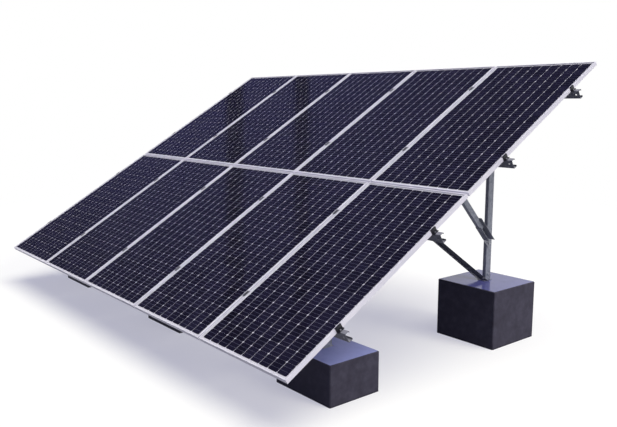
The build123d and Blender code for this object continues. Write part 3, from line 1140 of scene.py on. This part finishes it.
@dataclass
class CadDress:
    """Gives every CAD node its finish, by the words in its name.

    Args:
        nodes: CAD objects by name.
    """

    nodes: dict[str, bpy.types.Object]

    def clamp_highlights(self) -> PaintedLightAnodised:
        """Finish of the mid clamps, placed by the boxes of two module frames."""
        first, second = (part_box(f"module_frame_lower_{number}") for number in (1, 2))
        return PaintedLightAnodised(
            first_seam=(first[1].x + second[0].x) / 2,
            seam_pitch=second[0].x - first[0].x,
        )

    def finishes(self) -> list[tuple[tuple[str, ...], Finish]]:
        """Words of node names and the finish that they get, first match first."""
        plated = SteelFinish(
            name=Metal.ZINC_PLATED.value,
            dark="#a3a5ad",
            light="#c2c4cb",
            metallic=0.5,
            roughness=0.32,
            spangle_mm=60.0,
        )
        bracket = SteelFinish(
            name=Metal.BRACKET.value,
            dark="#83868f",
            light="#9a9da6",
            roughness=0.45,
        )
        # The front block's top, in the array's shade, is painted much lighter and bluer: a
        # painted reflection that stands in for light it does not get.
        front_top_painted_reflection = CastBlock(
            name="dark_cast_concrete_front_painted_reflection",
            painted_reflection_dark="#969dd6",
            painted_reflection_light="#a0a7e0",
        )
        # Painted shade: a darker galvanised steel for the braces and purlins that face
        # away from the light.
        painted_shade_steel = SteelFinish(
            name=Metal.PAINTED_SHADE.value, dark="#565862", light="#6e707b"
        )
        return [
            (("bolts",), plated),
            (("mid_clamps",), self.clamp_highlights()),
            (("clamps",), BlackAnodised()),
            (("glass",), SolarGlass()),
            (("module_frame",), AnodisedRail()),
            (("backsheets",), BackSheet()),
            (("junction",), BoxPlastic()),
            (("front_block",), front_top_painted_reflection),
            (("_block",), CastBlock()),
            (("knee_brackets", "cleats", "clevises", "shoes"), bracket),
            (("lateral", "purlin"), painted_shade_steel),
            (("rafter", "post", "brace"), SteelFinish()),
        ]

    def build(self) -> None:
        """Puts one material on each node that is shown."""
        table = [(words, finish.build()) for words, finish in self.finishes()]
        for name, node in self.nodes.items():
            for words, material in table:
                if any(word in name for word in words):
                    node.data.materials.clear()
                    node.data.materials.append(material)
                    LOG.info("%s wears %s", name, material.name)
                    break


# ---------------------------------------------------------------- studio


@dataclass(frozen=True)
class Seam:
    """A dark seam between two cards of the overhead light.

    Args:
        normal: Of the plane through the object in which the seam lies.
        half_width: Sine of the angle from that plane to the seam's edge.
        depth: How much of the light is missing there.
    """

    normal: tuple[float, float, float]
    half_width: float
    depth: float


@dataclass(frozen=True)
class Lamp:
    """A soft parallel lamp that no glossy surface mirrors.

    Args:
        name: Of the lamp.
        source: Direction towards it.
        strength: Light on a surface that faces it.
        angle: Size of its disc in degrees.
        colour: Its sRGB hex colour.
    """

    name: str
    source: tuple[float, float, float]
    strength: float
    angle: float
    colour: str

    def build(self) -> None:
        """Adds the lamp to the scene."""
        light = bpy.data.lights.new(self.name, "SUN")
        light.energy = self.strength
        light.angle = math.radians(self.angle)
        light.color = linear(self.colour)[:3]
        lamp = bpy.data.objects.new(self.name, light)
        lamp.rotation_mode = "QUATERNION"
        lamp.rotation_quaternion = Vector(self.source).to_track_quat("Z", "Y")
        lamp.visible_glossy = False
        bpy.context.scene.collection.objects.link(lamp)


@dataclass
class Studio:
    """Pale floor, soft light and camera.

    Args:
        middle: Middle of the object on the ground.
        reach: Half width of the floor.
        fade: Distances from the origin between which the floor turns white.
        floor_lit: Colour by which the floor reflects to the eye.
        floor_own: Colour of its own light.
        floor_dull: Colour by which it reflects to other surfaces.
        lamps: Lamps above the object.
        sky_fill: Sky as a light.
        sky_seen: Sky overhead to the eye and in reflections.
        band: Upward part of the direction at which the white band above the
            floor ends, and at which it is full.
        card_colour: Card in the sky, which far cells mirror.
        card_from: Direction towards its middle.
        card_edge: Cosine of the angle from there to its edge.
        seams: Dark seams in the sky.
        eye: Place of the camera.
        azimuth: Turn of the camera to the left from +Y, in degrees.
        pitch: How far it looks down, in degrees.
        lens: Focal length in mm.
        sensor: Width of the sensor in mm.
        clip_end: How far the camera sees.
    """

    middle: Vector
    reach: float = 60.0
    fade: tuple[float, float] = (5.0, 11.0)
    floor_lit: str = "#b9b9ae"
    floor_own: str = "#aeaebc"
    floor_dull: str = "#6f6f76"
    lamps: tuple[Lamp, ...] = (
        Lamp("key", (0.88, 0.25, 0.42), 1.35, 24.0, "#fffbf2"),
        Lamp("top", (0.30, 0.08, 0.95), 3.4, 50.0, "#fffdf4"),
    )
    sky_fill: str = "#575b7c"
    sky_seen: str = "#3a395c"
    band: tuple[float, float] = (0.315, 0.288)
    card_colour: str = "#4b4b7e"
    card_from: tuple[float, float, float] = (-0.82, 0.30, 0.49)
    card_edge: float = 0.935
    seams: tuple[Seam, ...] = (
        Seam((0.553, 0.386, 0.739), 0.016, 0.85),
        Seam((0.628, 0.370, 0.685), 0.013, 0.85),
    )
    eye: tuple[float, float, float] = (6.4938, -4.6647, 2.3067)
    azimuth: float = 50.589
    pitch: float = 8.923
    lens: float = 41.449
    sensor: float = 36.0
    clip_end: float = 500.0

    def floor(self) -> bpy.types.Object:
        """Builds the floor, white to the eye where nothing shades it.

        To the eye it is half its own light and half reflected, so the shadow
        stays soft; far out it is its own light alone. To diffuse rays it is a
        mid grey, so that it throws little light back up.

        Returns:
            The floor.
        """
        steps = np.linspace(-1.0, 1.0, 9) * self.reach
        u, v = np.meshgrid(steps, steps, indexing="ij")
        x, y = u + self.middle.x, v + self.middle.y
        points = np.stack([x, y, np.zeros_like(x)], -1).reshape(1, -1, 3)
        index = np.arange(u.size).reshape(u.shape)
        faces = np.stack(
            [index[:-1, :-1], index[1:, :-1], index[1:, 1:], index[:-1, 1:]], -1
        ).reshape(-1, 4)
        material = bpy.data.materials.new("pale_studio_floor")
        material.use_nodes = True
        tree = material.node_tree
        tree.nodes.clear()
        place = add(tree, "ShaderNodeTexCoord").outputs["Object"]
        distance = add(
            tree, "ShaderNodeVectorMath", {0: place}, operation="LENGTH"
        ).outputs["Value"]
        far = add(
            tree,
            "ShaderNodeMapRange",
            {"Value": distance, "From Min": self.fade[0], "From Max": self.fade[1]},
            interpolation_type="SMOOTHSTEP",
        ).outputs["Result"]
        lit = add(
            tree, "ShaderNodeBsdfDiffuse", {"Color": linear(self.floor_lit)}
        ).outputs["BSDF"]
        own = add(
            tree, "ShaderNodeEmission", {"Color": linear(self.floor_own)}
        ).outputs["Emission"]
        near = add(tree, "ShaderNodeAddShader", {0: lit, 1: own}).outputs["Shader"]
        white = add(tree, "ShaderNodeEmission", {"Color": WHITE}).outputs["Emission"]
        seen = add(
            tree, "ShaderNodeMixShader", {"Fac": far, 1: near, 2: white}
        ).outputs["Shader"]
        dull = add(
            tree, "ShaderNodeBsdfDiffuse", {"Color": linear(self.floor_dull)}
        ).outputs["BSDF"]
        shown = add(
            tree, "ShaderNodeMixShader", {"Fac": self.sight(tree), 1: dull, 2: seen}
        ).outputs["Shader"]
        add(tree, "ShaderNodeOutputMaterial", {"Surface": shown})
        floor = mesh_piece("studio_floor", points, faces, material)
        floor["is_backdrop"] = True
        return floor

    def sight(self, tree: bpy.types.NodeTree) -> bpy.types.NodeSocket:
        """Adds the test for camera, glossy and transmission rays.

        Args:
            tree: Node tree that gets it.

        Returns:
            1 for those rays and 0 for others.
        """
        path = add(tree, "ShaderNodeLightPath").outputs
        two = add(
            tree,
            "ShaderNodeMath",
            {0: path["Is Camera Ray"], 1: path["Is Glossy Ray"]},
            operation="MAXIMUM",
        ).outputs["Value"]
        return add(
            tree,
            "ShaderNodeMath",
            {0: two, 1: path["Is Transmission Ray"]},
            operation="MAXIMUM",
        ).outputs["Value"]

    def sky(self) -> None:
        """Builds the world: a white band low down, a card and seams in dim blue."""
        world = bpy.data.worlds.new("studio")
        bpy.context.scene.world = world
        world.use_nodes = True
        tree = world.node_tree
        tree.nodes.clear()
        way = add(tree, "ShaderNodeTexCoord").outputs["Generated"]
        height = add(tree, "ShaderNodeSeparateXYZ", {"Vector": way}).outputs["Z"]
        band = add(
            tree,
            "ShaderNodeMapRange",
            {"Value": height, "From Min": self.band[0], "From Max": self.band[1]},
            interpolation_type="SMOOTHSTEP",
        ).outputs["Result"]
        aim = Vector(self.card_from).normalized()
        towards = add(
            tree, "ShaderNodeVectorMath", {0: way, 1: aim}, operation="DOT_PRODUCT"
        ).outputs["Value"]
        card = add(
            tree,
            "ShaderNodeMapRange",
            {"Value": towards, "From Min": self.card_edge, "From Max": 1.0},
            interpolation_type="SMOOTHSTEP",
        ).outputs["Result"]
        overhead = add(
            tree,
            "ShaderNodeMix",
            {
                "Factor": card,
                MIX_FIRST: linear(self.sky_seen),
                MIX_SECOND: linear(self.card_colour),
            },
            data_type="RGBA",
        ).outputs[MIXED]
        for seam in self.seams:
            away = add(
                tree,
                "ShaderNodeVectorMath",
                {0: way, 1: seam.normal},
                operation="DOT_PRODUCT",
            ).outputs["Value"]
            apart = add(
                tree, "ShaderNodeMath", {0: away}, operation="ABSOLUTE"
            ).outputs["Value"]
            shade = add(
                tree,
                "ShaderNodeMapRange",
                {
                    "Value": apart,
                    "From Min": seam.half_width,
                    "From Max": seam.half_width * 0.5,
                    "To Max": seam.depth,
                },
                interpolation_type="SMOOTHSTEP",
            ).outputs["Result"]
            overhead = add(
                tree,
                "ShaderNodeMix",
                {"Factor": shade, MIX_FIRST: overhead, MIX_SECOND: BLACK},
                data_type="RGBA",
            ).outputs[MIXED]
        seen = add(
            tree,
            "ShaderNodeMix",
            {"Factor": band, MIX_FIRST: overhead, MIX_SECOND: WHITE},
            data_type="RGBA",
        ).outputs[MIXED]
        lit = add(
            tree,
            "ShaderNodeMix",
            {
                "Factor": self.sight(tree),
                MIX_FIRST: linear(self.sky_fill),
                MIX_SECOND: seen,
            },
            data_type="RGBA",
        ).outputs[MIXED]
        glow = add(tree, "ShaderNodeBackground", {"Color": lit}).outputs["Background"]
        add(tree, "ShaderNodeOutputWorld", {"Surface": glow})

    def camera(self) -> None:
        """Adds the camera at its azimuth and pitch."""
        data = bpy.data.cameras.new("camera")
        data.lens = self.lens
        data.sensor_width = self.sensor
        data.clip_end = self.clip_end
        camera = bpy.data.objects.new("camera", data)
        turn, dip = math.radians(self.azimuth), math.radians(self.pitch)
        ahead = Vector(
            (
                -math.sin(turn) * math.cos(dip),
                math.cos(turn) * math.cos(dip),
                -math.sin(dip),
            )
        )
        camera.location = self.eye
        camera.rotation_mode = "QUATERNION"
        camera.rotation_quaternion = ahead.to_track_quat("-Z", "Y")
        bpy.context.scene.collection.objects.link(camera)
        bpy.context.scene.camera = camera

    def build(self) -> None:
        """Builds floor, world, lamps and camera."""
        self.floor()
        self.sky()
        for lamp in self.lamps:
            lamp.build()
        self.camera()
        bpy.context.scene.view_settings.view_transform = "Standard"


def slope() -> float:
    """Tilt of the array, from where its lower and upper glass start."""
    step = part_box("module_glass_upper_1")[0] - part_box("module_glass_lower_1")[0]
    return math.atan2(step.z, step.y)


def main() -> None:
    """Builds the classes in order."""
    logging.basicConfig(level=logging.INFO, format="%(name)s: %(message)s")
    cad_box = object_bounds()
    tilt = slope()
    LOG.info("slope %.2f degrees", math.degrees(tilt))
    laminates = [
        Laminate(name, tilt)
        for name in sorted(frame["nodes"])
        if name.startswith("module_glass")
    ]
    CadDress(frame["nodes"]).build()
    for piece in CellField(laminates).build():
        LOG.info("%s: %d faces", piece.name, len(piece.data.polygons))
    middle = (cad_box[0] + cad_box[1]) / 2
    Studio(Vector((middle.x, middle.y, 0.0))).build()


if __name__ == "__main__":
    main()
